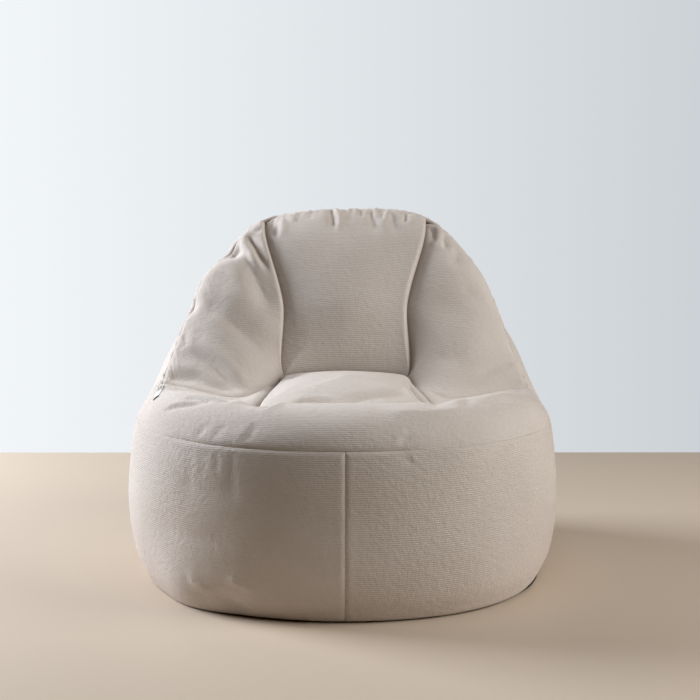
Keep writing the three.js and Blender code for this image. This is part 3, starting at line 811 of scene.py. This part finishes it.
back_folds = [
    ([(6.9, 6.2), (6.9, 6.45), (6.9, 6.7)], 0.007, 0.006, 0.003),
    ([(6.82, 6.25), (6.84, 6.7), (6.87, 7.15)], 0.009, 0.008, 0.004),
    ([(6.7, 6.2), (6.69, 6.45), (6.68, 6.7)], 0.007, 0.005, 0.003),
    ([(6.42, 6.2), (6.42, 6.45), (6.42, 6.65)], 0.008, 0.004, 0.0),
    ([(6.17, 6.0), (6.15, 6.5), (6.14, 7.1)], 0.008, 0.006, 0.004),
    ([(5.95, 6.2), (5.95, 6.5), (5.97, 6.8)], 0.01, 0.003, 0.0),
    ([(5.82, 6.15), (5.82, 6.4), (5.8, 6.6)], 0.006, 0.005, 0.0),
    ([(5.7, 6.2), (5.68, 6.62), (5.62, 7.2)], 0.01, 0.006, 0.003),
    ([(5.58, 6.15), (5.58, 6.45), (5.58, 6.8)], 0.007, 0.005, 0.003),
    ([(5.44, 6.3), (5.42, 6.8), (5.35, 7.15)], 0.01, 0.005, 0.002),
    ([(5.28, 6.2), (5.29, 6.55), (5.3, 6.8)], 0.007, 0.006, 0.003),
]
panels = [
    ("front_panel_right", BASE, BAND, 0, 3, [FAINT, BAND_SEAM, FAINT, SEAM], front_right_folds, []),
    ("front_panel_left", BASE, BAND, 9, 12, [FAINT, BAND_SEAM, SEAM, FAINT], front_left_folds, []),
    ("seat_lip", BAND, SEAT_SEAM, 9, 3, [BAND_SEAM, DOME_FOOT, SEAM, SEAM], lip_folds, []),
    ("seat_panel", SEAT_SEAM, SEAT_TOP, 0, 0, [DOME_EDGE, None, None, None], seat_folds, []),
    ("wing_panel_right", CROWN_RAIL, SEAT_SEAM, 3, 5, [SEAM, SHADED, SEAM, SHADED], right_wing_folds,
        [(0, 0.0018, 0.018, 0.035, 3)]),
    ("wing_panel_left", CROWN_RAIL, SEAT_SEAM, 7, 9, [SEAM, SHADED, TIGHT, SEAM], left_wing_folds,
        [(0, 0.0018, 0.02, 0.035, 4)]),
    ("back_rest_panel", CROWN_RAIL, SEAT_SEAM, 5, 7, [SEAM, SHADED, TIGHT, SHADED], back_folds,
        [(0, 0.003, 0.02, 0.028, 5)]),
    ("outer_back_right", BASE, CROWN_RAIL, 3, 6, [FAINT, SEAM, SEAM, SEAM], [],
        [(1, 0.0018, 0.02, 0.035, 6)]),
    ("outer_back_left", BASE, CROWN_RAIL, 6, 9, [FAINT, SEAM, SEAM, SEAM], [],
        [(1, 0.0018, 0.02, 0.035, 7)]),
]
for name, low, high, first, last, seams, folds, gathers in panels:
    level = name.startswith(("wing", "back_rest"))
    made = panel(f"{name}_plush", low, high, first, last, seams, folds, gathers, level)
    made.data.materials.append(plush)
    sew(made, name)


# ---- The liner and its beads. A thin white bag inside the cover holds polystyrene beads. Both
# are closed, follow the cover's surface from inside, and come nearer to it under the zips.
def inner_bag(name, depth, at_zip):
    """The chair's surface moved inwards by a depth, less under the zips, and closed below by a
    flat fan of the same rows."""
    stations = np.arange(0, STATIONS, 0.125)
    rails = np.append(np.arange(0, SEAT_TOP, 0.2), SEAT_TOP)
    grid = chair_surface(stations, rails)
    normals = normals_of(grid)
    up = grid[..., 2]
    at_height = smooth((up - zip_low.z) / 0.02) * smooth((zip_high.z - 0.004 - up) / 0.02)
    near = smooth((0.035 - abs(grid[..., 0])) / 0.02) * (grid[..., 1] > 0.2) * at_height
    inward = depth + (at_zip - depth) * near
    grid = grid - normals * inward[..., None]
    grid[..., 2] = np.maximum(grid[..., 2], 0.006)
    bottom = grid[:1] * np.array([[0, 0.5, 0.9]]).T[..., None]
    bottom[..., 2] = 0.005
    return cloth_mesh(name, np.concatenate([bottom.reshape(3, -1, 3), grid]), np.zeros(1), True)


liner = inner_bag("liner_bag", 0.021, 0.004)
liner.data.materials.append(bare_material("liner_cloth", "efede9", 0.85))
sew(liner, "inner_liner")

beads = inner_bag("bead_bag", 0.024, 0.012)
beads.data.materials.append(bare_material("polystyrene_beads", "f6f6f6", 0.5))
sew(beads, "bead_fill")

# ---- The base. Dark hard-wearing cloth under the chair, turned up round its edge to meet the
# panels. It is cut a little larger than its outline, by what is turned up and in.
TURN_UP = 0.003
edge = chair_surface(fine_columns, np.array([0.0]))[0]
edge[:, 2] = 0
rings = [
    edge * 0.0,
    edge * 0.5,
    edge * 0.96,
    edge * 0.978 + (0, 0, 0.0006),
    edge * 0.983 + (0, 0, 0.0018),
    edge * 0.978 + (0, 0, TURN_UP),
    edge * 0.96 + (0, 0, TURN_UP + 0.002),
]
base = cloth_mesh("base_cloth", np.array(rings), np.zeros(1), True)
base.data.materials.append(bare_material("dark_base_cloth", "1d1b1a", 0.9))
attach(base, "chair")
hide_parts("base_panel")

# ---- The two zips. Woven tapes with nylon coils on their inner edges; the sliders and stops
# are nickel. All of it follows the CAD pieces, whose places are read in the seam's own frame.
ALONG = np.array([0, -math.sin(LEAN), math.cos(LEAN)])
OUT = np.array([0, math.cos(LEAN), math.sin(LEAN)])
PITCH = 0.0016


def in_seam_frame(node_name):
    """A CAD node's lowest and highest values across, outward and along the seam."""
    co = np.array([v.co for v in frame["nodes"][node_name].data.vertices])
    local = np.stack([co[:, 0], co @ OUT, co @ ALONG], 1)
    return local.min(0), local.max(0)


def swept(name, section, along):
    """A closed tube: rings of (across, outward) pairs at places along the seam, drawn together
    to a point at both ends."""
    section = np.broadcast_to(section, (len(along), *section.shape[-2:]))
    grid = section[..., :1] * (1, 0, 0) + section[..., 1:] * OUT + along[:, None, None] * ALONG
    ends = grid.mean(1, keepdims=True) + np.zeros_like(grid)
    return cloth_mesh(name, np.concatenate([ends[:1], grid, ends[-1:]]), np.zeros(1), True)


def rounded_section(low, high, count, power):
    """Points round a box with its corners rounded: a superellipse of this power."""
    turn = -np.linspace(0, 2 * math.pi, count, endpoint=False)
    c, s = np.cos(turn), np.sin(turn)
    r = (abs(c) ** power + abs(s) ** power) ** (-1 / power)
    middle, half = (low + high) / 2, (high - low) / 2
    return np.stack([middle[0] + half[0] * c * r, middle[1] + half[1] * s * r], 1)


tape_cloth = bare_material("woven_tape", "c4bbb0", 0.9)
tree = tape_cloth.node_tree
place = node(tree, "ShaderNodeTexCoord")
weave = node(tree, "ShaderNodeTexWave", links=[("Vector", place, "Object")], bands_direction="Z", Scale=260)
weave_bump = node(tree, "ShaderNodeBump", links=[("Height", weave, "Fac")], Strength=0.6, Distance=0.0003)
tree.links.new(weave_bump.outputs["Normal"], tree.nodes["Principled BSDF"].inputs["Normal"])
nylon = bare_material("nylon_coil", "d6cfc4", 0.45)
nickel = bare_material("nickel", "c6c3bd", 0.42, 0.75)
tree = nickel.node_tree
place = node(tree, "ShaderNodeTexCoord")
cast = node(tree, "ShaderNodeTexNoise", links=[("Vector", place, "Object")], Scale=900, Detail=3)
cast_bump = node(tree, "ShaderNodeBump", links=[("Height", cast, "Fac")], Strength=0.25, Distance=0.0002)
tree.links.new(cast_bump.outputs["Normal"], tree.nodes["Principled BSDF"].inputs["Normal"])

for zip_name in ("cover_zip", "liner_zip"):
    for side in ("right", "left"):
        node_name = f"{zip_name}_tape_{side}"
        low, high = in_seam_frame(node_name)
        section = rounded_section(low, high, 16, 8)
        made = swept(f"{node_name}_woven", section, np.linspace(low[2], high[2], 60))
        made.data.materials.append(tape_cloth)
        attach(made, "chair")
        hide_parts(node_name)

        node_name = f"{zip_name}_teeth_{side}"
        low, high = in_seam_frame(node_name)
        along = np.arange(low[2], high[2], PITCH / 6)
        swell = 0.62 + 0.38 * abs(np.sin(math.pi * (along - low[2]) / PITCH)) ** 0.6
        section = rounded_section(low, high, 10, 3)
        middle = section.mean(0)
        made = swept(f"{node_name}_coil", middle + (section - middle) * swell[:, None, None], along)
        made.data.materials.append(nylon)
        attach(made, "chair")
        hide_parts(node_name)
    for part in ("bottom_stop", "top_stop", "slider"):
        frame["nodes"][f"{zip_name}_{part}"].material_slots[0].material = nickel

# ---- The zip's garage. A little pocket of the cover's plush over the parked slider, closed
# towards the floor and drawn shut above as well.
low, high = in_seam_frame("zip_garage")
turn = np.linspace(0, math.pi, 25)
arch = np.stack([-np.cos(turn), np.sin(turn) ** 0.45], 1)
outer = arch * (high[0], high[1] - low[1]) + (0, low[1])
inner = arch[::-1] * (high[0] - 0.0012, high[1] - low[1] - 0.0009) + (0, low[1])
along = low[2] + (high[2] - low[2]) * np.linspace(0, 1, 14)
garage = swept("garage_plush", np.concatenate([outer, inner]), along)
garage.data.materials.append(plush)
sew(garage, "zip_garage")

# ---- The label. A woven ribbon, caught by its top end where the left arm's seams meet and
# lying forward over the arm on the plush's highest points, with plain marks and a black end.
LABEL_STEPS = 48
LABEL_WIDTH = 0.013
TUCKED_IN = 0.005
CLEAR = 0.0008
MARKED_FROM = 0.6
BLACK_END = 0.1
lying = curve_on([(9.03, 6.0), (9.2, 5.74), (9.34, 5.3), (9.46, 4.98), (9.57, 4.66)], LABEL_STEPS)
label_length = np.linalg.norm(np.diff(lying, axis=0), axis=1).sum()
arm_side = curve_on([(9.03, 6.2), (9.2, 5.94), (9.34, 5.5), (9.46, 5.18), (9.57, 4.86)], LABEL_STEPS)
sideways = arm_side - lying
sideways /= np.linalg.norm(sideways, axis=1, keepdims=True)
away = np.cross(np.gradient(lying, axis=0), sideways)
away /= np.linalg.norm(away, axis=1, keepdims=True)
across = np.linspace(-0.5, 0.5, 12)
grid = lying[:, None] + sideways[:, None] * (across * LABEL_WIDTH)[None, :, None]

plush_below = bpy.data.objects["seat_lip_plush"].data
arm = np.empty(len(plush_below.vertices) * 3, np.float32)
plush_below.vertices.foreach_get("co", arm)
arm = arm.reshape(-1, 3).astype(float)
around = ((arm > grid.min((0, 1)) - 0.02) & (arm < grid.max((0, 1)) + 0.02)).all(1)
offsets = arm[around][None, None] - grid[:, :, None]
nearest = np.linalg.norm(offsets, axis=3).argmin(2)
rise = (np.take_along_axis(offsets, nearest[..., None, None], 2)[:, :, 0] * away[:, None]).sum(2)
lift = np.convolve(np.pad(rise.max(1), 3, "edge"), np.ones(7) / 7, "valid") + CLEAR
lift -= TUCKED_IN * (1 - smooth(np.linspace(0, 8, LABEL_STEPS)))
bow = 0.0006 * np.cos(math.pi * across)
grid = grid + away[:, None] * (lift[:, None] + bow)[..., None]
label = cloth_mesh("woven_label", grid[::-1], np.zeros(1), False)
ribbon = bare_material("woven_ribbon", "dedbd6", 0.8)
tree = ribbon.node_tree
place = node(tree, "ShaderNodeUVMap", uv_map="cloth")
split = node(tree, "ShaderNodeSeparateXYZ", links=[("Vector", place, "UV")])
marks = node(
    tree,
    "ShaderNodeTexBrick",
    links=[("Vector", place, "UV")],
    Scale=1.0,
    Mortar_Size=0.0009,
    Brick_Width=0.0046,
    Row_Height=0.0125,
    Color1=colour("6f6b66"),
    Color2=colour("5c5854"),
    Mortar=colour("dedbd6"),
)
high_up = node(tree, "ShaderNodeMath", links=[(0, split, "Y")], operation="GREATER_THAN")
high_up.inputs[1].default_value = MARKED_FROM * label_length
low_down = node(tree, "ShaderNodeMath", links=[(0, split, "Y")], operation="LESS_THAN")
low_down.inputs[1].default_value = BLACK_END * label_length
marked = node(tree, "ShaderNodeMix", links=[("Factor", high_up, "Value")], data_type="RGBA")
marked.inputs["A"].default_value = colour("dedbd6")
tree.links.new(marks.outputs["Color"], marked.inputs["B"])
ended = node(
    tree, "ShaderNodeMix", links=[("Factor", low_down, "Value"), ("A", marked, "Result")], data_type="RGBA"
)
ended.inputs["B"].default_value = colour("151413")
tree.links.new(ended.outputs["Result"], tree.nodes["Principled BSDF"].inputs["Base Color"])
label.data.materials.append(ribbon)
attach(label, "chair")
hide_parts("side_label")
